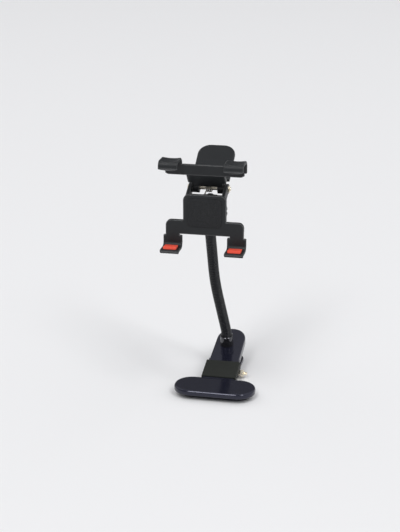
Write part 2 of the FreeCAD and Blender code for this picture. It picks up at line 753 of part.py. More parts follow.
for side in (-1, 1):
    x_from = min(side * bracket_in, side * bracket_out)
    x_to = max(side * bracket_in, side * bracket_out)
    fixed_pieces.append(cross_rod(x_from, x_to, hinge_back, hinge_up, knuckle_radius))
    nose_half = knuckle_radius - bracket_nose_slim
    nose_y = hinge_back - bracket_nose
    root_y = plate_back - fuse_root
    fixed_pieces.append(side_prism([(root_y, bracket_foot_low), (nose_y, hinge_up - nose_half),
                                    (hinge_back, hinge_up), (nose_y, hinge_up + nose_half),
                                    (root_y, back_plate_top - bracket_top_drop)], x_from, x_to))
ball_local = Vector(0, ball_back, ball_up)
hollow_radius = ball_radius + ball_gap
cup_start = plate_back - fuse_root - ball_back
cup_rim = math.sqrt(hollow_radius ** 2 - cup_past_centre ** 2)
cup_corners = [Vector(0, 0, -hollow_radius), Vector(0, 0, cup_start), Vector(cup_radius, 0, cup_start),
               Vector(cup_radius, 0, cup_past_centre), Vector(cup_rim, 0, cup_past_centre)]
cup_edges = [Part.LineSegment(p, q).toShape() for p, q in zip(cup_corners, cup_corners[1:])]
bowl_mid = Vector(hollow_radius, 0, -hollow_radius).multiply(math.sqrt(0.5))
cup_bowl = Part.Arc(cup_corners[-1], bowl_mid, cup_corners[0])
cup = Part.Face(Part.Wire(cup_edges + [cup_bowl.toShape()])).revolve(Vector(0, 0, 0), axis_z, 360)
cup_slots = []
for turn in cup_slot_turns:
    slot = Part.makeBox(2 * (cup_radius + cut_over), cup_slot, cup_slot_length,
                        Vector(-cup_radius - cut_over, -cup_slot / 2, cup_past_centre - cup_slot_length))
    slot.rotate(Vector(0, 0, 0), axis_z, turn)
    cup_slots.append(slot)
cup = one_solid(cup.cut(cup_slots))
cup.Placement = Placement(ball_local, Rotation(axis_z, axis_y))
for turn in gusset_turns:
    gusset = flat_face([Vector(cup_radius - fuse_root, -gusset_thick / 2, cup_start),
                        Vector(cup_radius + gusset_reach, -gusset_thick / 2, cup_start + weld),
                        Vector(cup_radius - fuse_root, -gusset_thick / 2, cup_start + weld + gusset_reach)])
    gusset = gusset.extrude(Vector(0, gusset_thick, 0))
    gusset.rotate(Vector(0, 0, 0), axis_z, turn)
    gusset.Placement = Placement(ball_local, Rotation(axis_z, axis_y)).multiply(gusset.Placement)
    fixed_pieces.append(gusset)
fixed_jaw = plate.fuse(fixed_pieces + [cup])
hinge_end = bracket_out + cut_over
hinge_hole = cross_rod(-hinge_end, hinge_end, hinge_back, hinge_up, hinge_pin_radius + pin_press_gap)
fixed_jaw = one_solid(fixed_jaw.cut(hinge_hole))
fixed_jaw.translate(cradle)
parts["fixed_jaw"] = fixed_jaw

# Soft cushion on the back plate.
cushion_low = cushion_mid - cushion_height / 2
cushion = local_slab(-cushion_width / 2, cushion_width / 2, phone_rest_back, plate_front,
                     cushion_low, cushion_low + cushion_height, cushion_corner)
cushion = one_solid(cushion)
cushion.translate(cradle)
parts["back_cushion"] = cushion

# Locking collar: a fluted ring nut that closes the cup over the ball.
mouth = math.radians(collar_mouth_angle)
mouth_radius = hollow_radius * math.sin(mouth)
mouth_height = hollow_radius * math.cos(mouth)
shoulder = cup_past_centre + collar_bore_gap
lip_outer_height = collar_end_wall
flare_radius = mouth_radius + (lip_outer_height - mouth_height) * math.tan(math.radians(collar_flare))
collar_back = lip_outer_height - collar_length
collar_bore = cup_radius + collar_bore_gap
lip_radius = mouth_radius - collar_lip
collar_face = flat_face([Vector(collar_bore, 0, collar_back),
                         Vector(collar_radius - collar_edge, 0, collar_back),
                         Vector(collar_radius, 0, collar_back + collar_edge),
                         Vector(collar_radius, 0, lip_outer_height - collar_nose),
                         Vector(collar_radius - collar_nose, 0, lip_outer_height),
                         Vector(flare_radius, 0, lip_outer_height),
                         Vector(mouth_radius, 0, mouth_height),
                         Vector(lip_radius, 0, mouth_height), Vector(lip_radius, 0, shoulder),
                         Vector(collar_bore, 0, shoulder)])
collar = collar_face.revolve(Vector(0, 0, 0), axis_z, 360)
collar = collar.cut(Part.makeSphere(hollow_radius, Vector(0, 0, 0)))
mouth_cut = Part.makeCone(mouth_radius, flare_radius, lip_outer_height - mouth_height,
                          Vector(0, 0, mouth_height))
collar = collar.cut(mouth_cut)
flutes = []
for k in range(collar_flutes):
    turn = 2 * math.pi * k / collar_flutes
    reach = collar_radius + collar_flute_radius - collar_flute_depth
    foot = Vector(reach * math.cos(turn), reach * math.sin(turn), collar_back - cut_over)
    flutes.append(Part.makeCylinder(collar_flute_radius, collar_length + 2 * cut_over, foot))
collar = one_solid(collar.cut(flutes))
collar.Placement = Placement(ball_centre, Rotation(axis_z, axis_y))
parts["locking_collar"] = collar

# Upper cradle jaw: hooked claws with dipped tops, cross bar, web, hinge knuckles and thumb tongue.
upper_lip_end = shelf_inner - upper_lip
claw_top = shelf_inner + claw_thick
cross_top = grip_half - upper_cross_drop
upper_cross_low = cross_top - upper_cross_height
moving_pieces = []
lip_past = upper_reach + lip_flare_out + claw_thick + cut_over
dip_length = lip_past + plate_front + claw_thick + cut_over
for side in (-1, 1):
    middle = side * claw_x
    x_from = middle - claw_width / 2
    x_to = middle + claw_width / 2
    hook = ribbon([(plate_front, shelf_inner - claw_flare), (plate_front, shelf_inner),
                   (-upper_reach, shelf_inner), (-upper_reach, upper_lip_end + lip_flare_drop),
                   (-upper_reach - lip_flare_out, upper_lip_end)],
                  [claw_inner_bend, claw_lip_bend, lip_flare_bend], claw_thick, x_from, x_to)
    hook = soft_sides(hook, claw_edge_round)
    dip_radius = (claw_width / 2) ** 2 / (2 * upper_dip) + upper_dip / 2
    dip = Part.makeCylinder(dip_radius, dip_length,
                            Vector(middle, -lip_past, claw_top - upper_dip + dip_radius), axis_y)
    corner_left = Vector(x_from - trim_over, -lip_past, upper_lip_end + upper_lip_sag)
    corner_right = Vector(x_to + trim_over, -lip_past, upper_lip_end + upper_lip_sag)
    below = Vector(0, 0, -upper_lip_sag - claw_thick)
    sag = Part.Arc(corner_left, Vector(middle, -lip_past, upper_lip_end), corner_right).toShape()
    sag_wire = Part.Wire([sag, Part.LineSegment(corner_right, corner_right + below).toShape(),
                          Part.LineSegment(corner_right + below, corner_left + below).toShape(),
                          Part.LineSegment(corner_left + below, corner_left).toShape()])
    trim = Part.Face(sag_wire).extrude(Vector(0, lip_past, 0))
    arm_low = upper_cross_low + fuse_root
    arm = Part.makeBox(arm_width, claw_thick, shelf_inner - claw_flare + weld - arm_low,
                       Vector(middle - arm_width / 2, plate_front, arm_low))
    moving_pieces += [one_solid(hook.cut([dip, trim])), arm]
upper_cross = local_slab(-cross_half, cross_half, plate_front, plate_front + claw_thick,
                         upper_cross_low, cross_top, upper_cross_corner)
web_from = Vector(0, plate_front + claw_thick / 2, (upper_cross_low + cross_top) / 2)
web_way = hinge_local.sub(web_from)
web_turn = math.atan2(web_way.z, web_way.y)
web = Part.makeBox(2 * web_half, web_way.Length, web_thick, Vector(-web_half, 0, -web_thick / 2))
web.Placement = Placement(web_from, Rotation(axis_x, math.degrees(web_turn)))
tongue = Part.makeBox(2 * tongue_half, tongue_length, tongue_thick,
                      Vector(-tongue_half, 0, -tongue_thick / 2))
far_edges = [e for e in tongue.Edges if abs(e.tangentAt(e.FirstParameter).z) > 0.9 and e.BoundBox.YMin > 1]
tongue = tongue.makeFillet(tongue_corner, far_edges)
rim = [e for e in tongue.Edges if abs(e.BoundBox.ZLength) < 1e-4 and e.BoundBox.YMax > 1]
tongue = tongue.makeFillet(tongue_round, rim)
tongue.Placement = Placement(hinge_local, Rotation(axis_x, tongue_angle))
spring_room = cross_rod(-knuckle_inner, knuckle_inner, hinge_back, hinge_up, knuckle_radius + jaw_spring_room)
moving_jaw = upper_cross.fuse(moving_pieces + [web, tongue])
moving_jaw = moving_jaw.cut(spring_room)
for side in (-1, 1):
    x_from = min(side * knuckle_inner, side * knuckle_outer)
    x_to = max(side * knuckle_inner, side * knuckle_outer)
    moving_jaw = moving_jaw.fuse(cross_rod(x_from, x_to, hinge_back, hinge_up, knuckle_radius))
ends_clear = []
sweep_end = knuckle_outer + web_half + tongue_half
for side in (-1, 1):
    x_from = min(side * knuckle_outer, side * sweep_end)
    x_to = max(side * knuckle_outer, side * sweep_end)
    ends_clear.append(cross_rod(x_from, x_to, hinge_back, hinge_up, bracket_sweep))
knuckle_hole = cross_rod(-sweep_end, sweep_end, hinge_back, hinge_up, hinge_pin_radius + pin_running_gap)
moving_jaw = one_solid(moving_jaw.cut(ends_clear + [knuckle_hole]))
moving_jaw.translate(cradle)
parts["moving_jaw"] = moving_jaw

# Soft pads on the four claws, each with a low ridge at its front.
pad_back = plate_front - claw_inner_bend - claw_pad_gap
pad_front = nose_start + claw_pad_gap
for side, name in ((-1, "left"), (1, "right")):
    middle = side * claw_x
    x_from = middle - claw_pad_width / 2
    ridge_front = pad_front + claw_pad_front_slope
    ridge_back = ridge_front + claw_pad_ridge_width
    ridge_top = -grip_half + claw_pad_ridge
    ridge_foot = ridge_back + claw_pad_ridge_slope
    low = side_prism([(pad_back, shelf_low), (pad_back, -grip_half), (ridge_foot, -grip_half),
                      (ridge_back, ridge_top), (ridge_front, ridge_top), (pad_front, shelf_low)],
                     x_from, x_from + claw_pad_width)
    low.translate(cradle)
    parts["lower_claw_pad_" + name] = low
    high_front = claw_lip_bend + claw_pad_gap - upper_reach
    high = side_prism([(pad_back, shelf_inner), (pad_back, grip_half), (high_front, grip_half),
                       (high_front, shelf_inner)], x_from, x_from + claw_pad_width)
    high.translate(cradle)
    parts["upper_claw_pad_" + name] = high

# Cradle hinge pin, its keeper, and the spring that closes the jaws.
hinge_left = -bracket_out
hinge_right = bracket_out + keeper_thick + hinge_pin_tail
jaw_pin = cross_rod(hinge_left, hinge_right, hinge_back, hinge_up, hinge_pin_radius)
head_left = hinge_left - hinge_pin_head_thick
jaw_pin_head = cross_rod(head_left, hinge_left, hinge_back, hinge_up, hinge_pin_head_radius)
jaw_pin_head = jaw_pin_head.makeFillet(hinge_pin_head_round, edges_at_x(jaw_pin_head, head_left))
jaw_pin = one_solid(jaw_pin.fuse(jaw_pin_head))
jaw_pin.translate(cradle)
parts["jaw_pin"] = jaw_pin
keeper = cross_rod(bracket_out, bracket_out + keeper_thick, hinge_back, hinge_up, keeper_radius)
keeper_hole_end = hinge_right + cut_over
keeper = keeper.cut(cross_rod(0, keeper_hole_end, hinge_back, hinge_up, hinge_pin_radius + pin_press_gap))
keeper = one_solid(keeper)
keeper.translate(cradle)
parts["jaw_pin_keeper"] = keeper
jaw_spring = torsion_spring(
    hinge_local, jaw_spring_radius, jaw_spring_wire, jaw_spring_turns, jaw_spring_pitch,
    270 + jaw_plate_leg_drop, 270 + tongue_angle + jaw_tongue_leg_lift, jaw_plate_leg, jaw_tongue_leg)
jaw_spring = one_solid(jaw_spring)
jaw_spring.translate(cradle)
parts["jaw_spring"] = jaw_spring

os.makedirs("parts", exist_ok=True)
for name, shape in parts.items():
    print(name, "volume", round(shape.Volume), "valid", shape.isValid(), shape.ShapeType)
    shape.exportStep("parts/" + name + ".step")
print(len(parts), "pieces written")
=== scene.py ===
import json
import math

import bpy
import numpy as np
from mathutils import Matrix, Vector


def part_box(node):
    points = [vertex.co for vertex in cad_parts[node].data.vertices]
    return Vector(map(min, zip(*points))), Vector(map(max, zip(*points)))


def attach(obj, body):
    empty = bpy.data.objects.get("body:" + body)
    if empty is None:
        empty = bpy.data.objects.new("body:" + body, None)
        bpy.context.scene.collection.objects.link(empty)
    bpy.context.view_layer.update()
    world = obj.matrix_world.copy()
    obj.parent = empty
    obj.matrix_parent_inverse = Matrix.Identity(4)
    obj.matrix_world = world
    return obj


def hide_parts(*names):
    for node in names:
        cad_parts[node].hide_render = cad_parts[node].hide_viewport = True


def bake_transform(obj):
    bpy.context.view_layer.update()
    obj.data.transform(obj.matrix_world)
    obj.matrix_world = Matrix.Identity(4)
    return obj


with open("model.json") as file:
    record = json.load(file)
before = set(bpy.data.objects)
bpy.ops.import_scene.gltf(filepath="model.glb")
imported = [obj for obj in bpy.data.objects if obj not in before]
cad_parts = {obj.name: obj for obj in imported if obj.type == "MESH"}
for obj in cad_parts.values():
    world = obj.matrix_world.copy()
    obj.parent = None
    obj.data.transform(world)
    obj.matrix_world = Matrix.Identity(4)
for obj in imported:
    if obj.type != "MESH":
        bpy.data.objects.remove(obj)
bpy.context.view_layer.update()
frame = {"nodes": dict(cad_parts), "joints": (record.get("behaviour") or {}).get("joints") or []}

nodes = frame["nodes"]
scene = bpy.context.scene
mm = 0.001
print("frame loaded:", len(nodes), "nodes")


# Places that the frame gives, in mm: the point a joint turns about, and a node's lowest and highest corners
def jointPoint(jointName):
    joint = next(joint for joint in frame["joints"] if joint["name"] == jointName)
    return np.array(joint["pos_m"]) / mm


def nodeBox(nodeName):
    low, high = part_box(nodeName)
    return np.array(low) / mm, np.array(high) / mm


# sRGB hex to linear: c / 12.92 below 0.04045, else ((c + 0.055) / 1.055) ^ 2.4
def linear(hexText):
    srgb = np.array([int(hexText[k:k + 2], 16) for k in (1, 3, 5)]) / 255
    light = np.where(srgb <= 0.04045, srgb / 12.92, ((srgb + 0.055) / 1.055) ** 2.4)
    return (*light.tolist(), 1.0)


# settings: a key that names an input sets its value, any other key is an attribute of the node
def addNode(tree, kind, settings=None, links=None):
    node = tree.nodes.new("ShaderNode" + kind)
    for key, value in (settings or {}).items():
        if isinstance(key, int) or key in node.inputs:
            node.inputs[key].default_value = value
        else:
            setattr(node, key, value)
    for key, socket in (links or {}).items():
        tree.links.new(socket, node.inputs[key])
    return node


def perMetre(sizeMm):
    return 1.0 / (sizeMm * mm)


# Finishes. Each starts as an empty tree with Object coordinates and ends in a Principled shader
def startFinish(name):
    finish = bpy.data.materials.new(name)
    finish.use_nodes = True
    tree = finish.node_tree
    tree.nodes.clear()
    place = addNode(tree, "TexCoord").outputs["Object"]
    return finish, tree, place


def endFinish(tree, settings, links=None):
    shader = addNode(tree, "BsdfPrincipled", settings, links)
    addNode(tree, "OutputMaterial", links={"Surface": shader.outputs["BSDF"]})


noiseLow, noiseHigh = 0.3, 0.7  # most of a noise texture's values lie between these
edgeStart, edgeFull = 0.99, 0.86  # cosines of a face to its eased edge: the painted edge highlight starts, is full


# Moulded plastics: slow colour drift from the melt, uneven gloss from handling, the mould's own grain, and
# edges that the mould leaves slightly round, painted paler along them as a highlight
def mouldedPlastic(name, look):
    finish, tree, place = startFinish(name)
    drift = addNode(tree, "TexNoise", {"Scale": perMetre(look["driftMm"]), "Detail": 3.0},
                    {"Vector": place})
    handling = addNode(tree, "TexNoise", {"Scale": perMetre(look["smearMm"]), "Detail": 6.0,
                                          "Roughness": 0.62}, {"Vector": place})
    grain = addNode(tree, "TexNoise", {"Scale": perMetre(look["grainMm"]), "Detail": 2.0},
                    {"Vector": place})
    gloss = addNode(tree, "MapRange", {"From Min": noiseLow, "From Max": noiseHigh,
                                       "To Min": look["roughness"][0], "To Max": look["roughness"][1]},
                    {"Value": handling.outputs["Fac"]})
    edge = addNode(tree, "Bevel", {"samples": 6, "Radius": look["edgeMm"] * mm})
    bump = addNode(tree, "Bump", {"Strength": look["grainStrength"], "Distance": look["grainDepthMm"] * mm},
                   {"Height": grain.outputs["Fac"], "Normal": edge.outputs["Normal"]})
    face = addNode(tree, "NewGeometry")
    along = addNode(tree, "VectorMath", {"operation": "DOT_PRODUCT"},
                    {0: edge.outputs["Normal"], 1: face.outputs["Normal"]})
    paintedLight = addNode(tree, "MapRange", {"From Min": edgeStart, "From Max": edgeFull,
                                        "To Min": 0.0, "To Max": 1.0}, {"Value": along.outputs["Value"]})
    body = addNode(tree, "Mix", {"data_type": "RGBA", 6: linear(look["dark"]), 7: linear(look["pale"])},
                   {0: drift.outputs["Fac"]})
    # Painted highlight: the eased edges take the paler edge colour
    colour = addNode(tree, "Mix", {"data_type": "RGBA", 7: linear(look["edge"])},
                     {0: paintedLight.outputs["Result"], 6: body.outputs[2]})
    # Specular Tint paints a colour into the reflections: blue on the gloss ABS, none on the rest
    endFinish(tree, {"IOR": look["ior"], "Specular IOR Level": look["specular"],
                     "Specular Tint": linear(look.get("reflectionTint", "#ffffff"))},
              {"Base Color": colour.outputs[2], "Roughness": gloss.outputs["Result"],
               "Normal": bump.outputs["Normal"]})
    return finish


# Gloss ABS from a polished mould: near black with a blue cast, soft reflections painted blue to stand for
# bluish surroundings, faint orange peel, eased edges painted paler as a highlight
glossAbs = mouldedPlastic("glossAbsBlueBlack", {
    "dark": "#151620", "pale": "#1f202d", "edge": "#2c2c32", "driftMm": 34, "smearMm": 9, "grainMm": 1.1,
    "edgeMm": 0.35, "roughness": (0.1, 0.18), "grainStrength": 0.06, "grainDepthMm": 0.03,
    "ior": 1.5, "specular": 0.56, "reflectionTint": "#eaebff"})

# Satin ABS from a spark-eroded mould: dark grey, broad dull highlights, fine even grain, eased edges painted
# paler as a highlight. The real grain is too fine to show, so it is drawn a little coarse
satinLook = {
    "dark": "#1b1d1f", "pale": "#26282a", "edge": "#515255", "driftMm": 22, "smearMm": 7, "grainMm": 0.45,
    "edgeMm": 0.8, "roughness": (0.36, 0.5), "grainStrength": 0.3, "grainDepthMm": 0.04,
    "ior": 1.5, "specular": 0.26}
satinAbs = mouldedPlastic("satinAbsDarkGrey", satinLook)

# The same plastic on the cradle's two jaws, which are thumbed open: rounder edges, painted paler along them
# as a highlight
paintedEdgeAbs = mouldedPlastic("satinAbsPaintedEdges", dict(satinLook, edge="#626364", edgeMm=1.5))

# Matt polypropylene: greenish grey, hardly any highlight, a coarse etched grain, eased edges painted a
# little paler as a highlight
mattPolypropylene = mouldedPlastic("mattPolypropyleneGrey", {
    "dark": "#212321", "pale": "#2b2d2a", "edge": "#363835", "driftMm": 18, "smearMm": 6, "grainMm": 0.6,
    "edgeMm": 0.3, "roughness": (0.62, 0.76), "grainStrength": 0.45, "grainDepthMm": 0.05,
    "ior": 1.49, "specular": 0.22})

# Soft silicone: even coral red, wax-like sheen, a dusty bloom, eased edges painted paler as a highlight
coralSilicone = mouldedPlastic("coralSilicone", {
    "dark": "#dd4531", "pale": "#ee614c", "edge": "#f47865", "driftMm": 8, "smearMm": 3, "grainMm": 0.5,
    "edgeMm": 0.2, "roughness": (0.46, 0.6), "grainStrength": 0.25, "grainDepthMm": 0.04,
    "ior": 1.41, "specular": 0.4})

# Vulcanised rubber: flat black, painted greyer along its eased edges as a highlight
blackRubber = mouldedPlastic("vulcanisedRubberBlack", {
    "dark": "#121213", "pale": "#1f1f20", "edge": "#2e2e2f", "driftMm": 5, "smearMm": 4, "grainMm": 0.5,
    "edgeMm": 0.2, "roughness": (0.72, 0.86), "grainStrength": 0.4, "grainDepthMm": 0.05,
    "ior": 1.5, "specular": 0.3})


# Closed-cell foam: a skin of small round cells, each a shallow pit painted darker towards its middle as
# shade
def closedCellFoam():
    look = {"pit": "#1b1c1d", "skin": "#2e2f31", "cellMm": 0.7, "pitMm": 0.12, "pitStrength": 0.6,
            "roughness": 0.85, "specular": 0.25}
    finish, tree, place = startFinish("closedCellFoamCharcoal")
    cells = addNode(tree, "TexVoronoi", {"Scale": perMetre(look["cellMm"])}, {"Vector": place})
    bump = addNode(tree, "Bump", {"Strength": look["pitStrength"], "Distance": look["pitMm"] * mm},
                   {"Height": cells.outputs["Distance"]})
    # Painted shade: each cell takes the pit colour at its middle, the skin colour towards its rim
    colour = addNode(tree, "Mix", {"data_type": "RGBA", 6: linear(look["pit"]), 7: linear(look["skin"])},
                     {0: cells.outputs["Distance"]})
    endFinish(tree, {"Roughness": look["roughness"], "Specular IOR Level": look["specular"]},
              {"Base Color": colour.outputs[2], "Normal": bump.outputs["Normal"]})
    return finish


# Bare and plated steel, turned or drawn: bright metal, slightly clouded, with fine tool marks
def brightSteel(name, look):
    finish, tree, place = startFinish(name)
    cloud = addNode(tree, "TexNoise", {"Scale": perMetre(look["cloudMm"]), "Detail": 4.0},
                    {"Vector": place})
    marks = addNode(tree, "TexNoise", {"Scale": perMetre(look["markMm"]), "Detail": 3.0},
                    {"Vector": place})
    gloss = addNode(tree, "MapRange", {"From Min": noiseLow, "From Max": noiseHigh,
                                       "To Min": look["roughness"][0], "To Max": look["roughness"][1]},
                    {"Value": cloud.outputs["Fac"]})
    bump = addNode(tree, "Bump", {"Strength": look["markStrength"], "Distance": look["markDepthMm"] * mm},
                   {"Height": marks.outputs["Fac"]})
    colour = addNode(tree, "Mix", {"data_type": "RGBA", 6: linear(look["dark"]), 7: linear(look["pale"])},
                     {0: cloud.outputs["Fac"]})
    endFinish(tree, {"Metallic": 1.0},
              {"Base Color": colour.outputs[2], "Roughness": gloss.outputs["Result"],
               "Normal": bump.outputs["Normal"]})
    return finish


# Nickel plate on turned steel: warm and bright, with blurred reflections
nickelSteel = brightSteel("nickelPlatedSteel", {
    "dark": "#fbefd6", "pale": "#fff9ea", "cloudMm": 2.5, "markMm": 0.35, "markStrength": 0.15,
    "markDepthMm": 0.02, "roughness": (0.22, 0.34)})

# The same plate polished, so that the ball turns in its cup: greyer and sharper
polishedBall = brightSteel("polishedNickelBall", {
    "dark": "#cfccc6", "pale": "#e6e3dc", "cloudMm": 4.0, "markMm": 0.5, "markStrength": 0.15,
    "markDepthMm": 0.02, "roughness": (0.14, 0.24)})

# Hard-drawn spring wire, bare: mid grey, with the die's dull streaks
drawnWire = brightSteel("drawnSpringWire", {
    "dark": "#85837e", "pale": "#b9b6af", "cloudMm": 3.0, "markMm": 0.3, "markStrength": 0.15,
    "markDepthMm": 0.02, "roughness": (0.26, 0.4)})


# Black nickel plate on turned steel: a dark mirror, near black towards the object and pale along its sides
def blackNickelPlate():
    look = {"dark": "#4a4a4d", "pale": "#5c5c60", "peelMm": 2.6, "peelStrength": 0.06, "peelDepthMm": 0.03,
            "roughness": (0.07, 0.13), "metallic": 0.85}
    finish, tree, place = startFinish("blackNickelPlate")
    peel = addNode(tree, "TexNoise", {"Scale": perMetre(look["peelMm"]), "Detail": 3.0}, {"Vector": place})
    gloss = addNode(tree, "MapRange", {"From Min": noiseLow, "From Max": noiseHigh,
                                       "To Min": look["roughness"][0], "To Max": look["roughness"][1]},
                    {"Value": peel.outputs["Fac"]})
    bump = addNode(tree, "Bump", {"Strength": look["peelStrength"], "Distance": look["peelDepthMm"] * mm},
                   {"Height": peel.outputs["Fac"]})
    colour = addNode(tree, "Mix", {"data_type": "RGBA", 6: linear(look["dark"]), 7: linear(look["pale"])},
                     {0: peel.outputs["Fac"]})
    endFinish(tree, {"Metallic": look["metallic"]},
              {"Base Color": colour.outputs[2], "Roughness": gloss.outputs["Result"],
               "Normal": bump.outputs["Normal"]})
    return finish


# Blackened steel wire of the neck: the valleys between turns are painted near black as shade, the crests a
# little brighter, in patches
def blackenedWire():
    look = {"valley": "#050507", "crest": "#151820", "cloudMm": 2.2, "roughness": (0.24, 0.36),
            "specular": 0.36}
    finish, tree, place = startFinish("blackenedSteelWinding")
    crestShape = addNode(tree, "Attribute", {"attribute_name": "crest"})
    cloud = addNode(tree, "TexNoise", {"Scale": perMetre(look["cloudMm"]), "Detail": 5.0},
                    {"Vector": place})
    paintedLight = addNode(tree, "Math", {"operation": "MULTIPLY"},
                     {0: crestShape.outputs["Fac"], 1: cloud.outputs["Fac"]})
    gloss = addNode(tree, "MapRange", {"From Min": noiseLow, "From Max": noiseHigh,
                                       "To Min": look["roughness"][0], "To Max": look["roughness"][1]},
                    {"Value": cloud.outputs["Fac"]})
    # Painted shade: away from the crests the colour falls to the valley's near black
    colour = addNode(tree, "Mix", {"data_type": "RGBA", 6: linear(look["valley"]),
                                   7: linear(look["crest"])}, {0: paintedLight.outputs["Value"]})
    endFinish(tree, {"Specular IOR Level": look["specular"]},
              {"Base Color": colour.outputs[2], "Roughness": gloss.outputs["Result"]})
    return finish


foam = closedCellFoam()
blackNickel = blackNickelPlate()
neckWire = blackenedWire()
print("finishes made:", len(bpy.data.materials))

# CAD nodes that stay in view, each with its finish
nodeFinishes = {
    "upper_jaw": glossAbs, "lower_jaw": glossAbs, "hinge_cover": mattPolypropylene,
    "fixed_jaw": paintedEdgeAbs, "moving_jaw": paintedEdgeAbs, "locking_collar": satinAbs,
    "stem_ferrule": blackNickel, "head_ferrule": blackNickel, "stem_washer": nickelSteel,
    "ball_stud": polishedBall, "jaw_pin": nickelSteel, "jaw_pin_keeper": nickelSteel}
for nodeName, finish in nodeFinishes.items():
    nodes[nodeName].data.materials.clear()
    nodes[nodeName].data.materials.append(finish)
print("CAD nodes finished:", len(nodeFinishes))


# A grid of points (rows x columns x 3, in mm) becomes a mesh. Columns close on themselves and rows may,
# and a cap closes an open end with a fan about its ring's middle. crest is a value per point for the finish
def gridPiece(name, points, finish, closeRows=False, capEnds=False, crest=None, creaseAngle=None):
    rows, columns = points.shape[:2]
    index = np.arange(rows * columns).reshape(rows, columns)
    below = np.roll(index, -1, 0) if closeRows else index[1:]
    here = index if closeRows else index[:-1]
    faces = np.stack([here, np.roll(here, -1, 1), np.roll(below, -1, 1), below], -1).reshape(-1, 4).tolist()
    vertices = points.reshape(-1, 3)
    values = crest.reshape(-1) if crest is not None else None
    if capEnds:
        first, last = len(vertices), len(vertices) + 1
        vertices = np.vstack([vertices, points[0].mean(0), points[-1].mean(0)])
        near, far = index[0], index[-1]
        faces += np.stack([np.full(columns, first), np.roll(near, -1), near], -1).tolist()
        faces += np.stack([np.full(columns, last), far, np.roll(far, -1)], -1).tolist()
        values = np.append(values, [0, 0]) if values is not None else None
    mesh = bpy.data.meshes.new(name)
    mesh.from_pydata((vertices * mm).tolist(), [], faces)
    mesh.polygons.foreach_set("use_smooth", np.ones(len(mesh.polygons), bool))
    if creaseAngle:
        mesh.set_sharp_from_angle(angle=math.radians(creaseAngle))
    mesh.materials.append(finish)
    if values is not None:
        mesh.attributes.new("crest", "FLOAT", "POINT").data.foreach_set("value", values.astype(np.float32))
    mesh.update()
    piece = bpy.data.objects.new(name, mesh)
    scene.collection.objects.link(piece)
    return piece


# Points about a step apart along straight runs joined by tangent arcs: each corner's arc has the radius
# given for it, starts and ends radius * tan(turn / 2) from the corner, and swings about its own centre
def bentPath(corners, radii, step, fewest=2):
    corners = np.asarray(corners, float)
    stretches, here = [], corners[0]
    for k, radius in enumerate(radii):
        corner = corners[k + 1]
        back = corners[k] - corner
        back = back / np.linalg.norm(back)
        ahead = corners[k + 2] - corner
        ahead = ahead / np.linalg.norm(ahead)
        turn = math.pi - math.acos(float(back @ ahead))
        reach = radius * math.tan(turn / 2)
        inward = (back + ahead) / np.linalg.norm(back + ahead)
        centre = corner + inward * radius / math.cos(turn / 2)
        arcStart = corner + back * reach
        run = np.linalg.norm(arcStart - here)
        share = np.linspace(0, 1, max(fewest, int(run / step)), endpoint=False)[:, None]
        stretches.append(here + (arcStart - here) * share)
        angle = np.linspace(0, turn, max(fewest, int(radius * turn / step)), endpoint=False)[:, None]
        stretches.append(centre + (arcStart - centre) * np.cos(angle) - back * radius * np.sin(angle))
        here = corner + ahead * reach
    run = np.linalg.norm(corners[-1] - here)
    share = np.linspace(0, 1, max(fewest, int(run / step)))[:, None]
    stretches.append(here + (corners[-1] - here) * share)
    return np.vstack(stretches)


# Distance along a row of points, and the unit direction at each
def alongPath(points):
    steps = np.linalg.norm(np.diff(points, axis=0), axis=1)
    distance = np.concatenate([[0], np.cumsum(steps)])
    way = np.gradient(points, distance, axis=0)
    return distance, way / np.linalg.norm(way, axis=1)[:, None]


# A round section carried along a path: point + radius * (side * cos(a) + up * sin(a)), where side is x made
# square to the path and up is square to both
def tubeAlong(points, radius, around):
    _, way = alongPath(points)
    side = np.array([1.0, 0, 0]) - way * way[:, :1]
    side = side / np.linalg.norm(side, axis=1)[:, None]
    up = np.cross(way, side)
    angle = np.linspace(0, 2 * math.pi, around, endpoint=False)
    ring = side[:, None] * np.cos(angle)[None, :, None] + up[:, None] * np.sin(angle)[None, :, None]
    radius = np.broadcast_to(radius, (len(points), around))
    return points[:, None] + ring * radius[..., None]


# Bendable neck: it stands square on the lever, runs straight, passes a waist and an elbow, and ends on the
# line from the elbow to the ball. Its path is cut in two halves at foldAboutSway below the joint neck_sway
neck = {"foot": (-2.2, 28.3, 21.74), "footTilt": 12.0, "footSeat": 2.0, "firstRun": 12.5,
        "waist": (-10.2, 7.7, 91.6), "elbow": (-11.5, -12.0, 154.6), "ballToEnd": 16.5,
        "bends": (55.0, 280.0, 50.0), "core": 4.05, "height": 0.88, "pitch": 1.9, "stepsPerPitch": 9,
        "around": 44, "foldBelowBend": 25.0, "foldAboutSway": 22.0, "seamPoints": 4}
footTilt = math.radians(neck["footTilt"])
stemWay = np.array([0.0, -math.sin(footTilt), math.cos(footTilt)])
stemFoot = np.array(neck["foot"])
neckStart = stemFoot + stemWay * neck["footSeat"]
ball = jointPoint("head_tilt")
fromBall = neck["elbow"] - ball
neckEnd = ball + fromBall / np.linalg.norm(fromBall) * neck["ballToEnd"]
neckRoute = [neckStart, neckStart + stemWay * neck["firstRun"], neck["waist"], neck["elbow"], neckEnd]
neckPath = bentPath(neckRoute, neck["bends"], neck["pitch"] / neck["stepsPerPitch"])
neckDistance, _ = alongPath(neckPath)


# Round wire wound close: a row of half-round crests with sharp valleys that climb the tube as a screw,
# radius = core + height * sqrt(1 - (2 * phase - 1)^2), phase = fraction of (distance / pitch - turn)
def neckHalf(name, points, firstDistance):
    distance, _ = alongPath(points)
    turn = np.linspace(0, 1, neck["around"], endpoint=False)
    phase = ((distance[:, None] + firstDistance) / neck["pitch"] - turn[None]) % 1.0
    crest = np.sqrt(np.clip(1 - (2 * phase - 1) ** 2, 0, 1))
    surface = tubeAlong(points, neck["core"] + neck["height"] * crest, neck["around"])
    return gridPiece(name, surface, neckWire, capEnds=True, crest=crest)


# Index of the neck's first point above a height
def firstAbove(height):
    return int(np.argmax(neckPath[:, 2] > height))


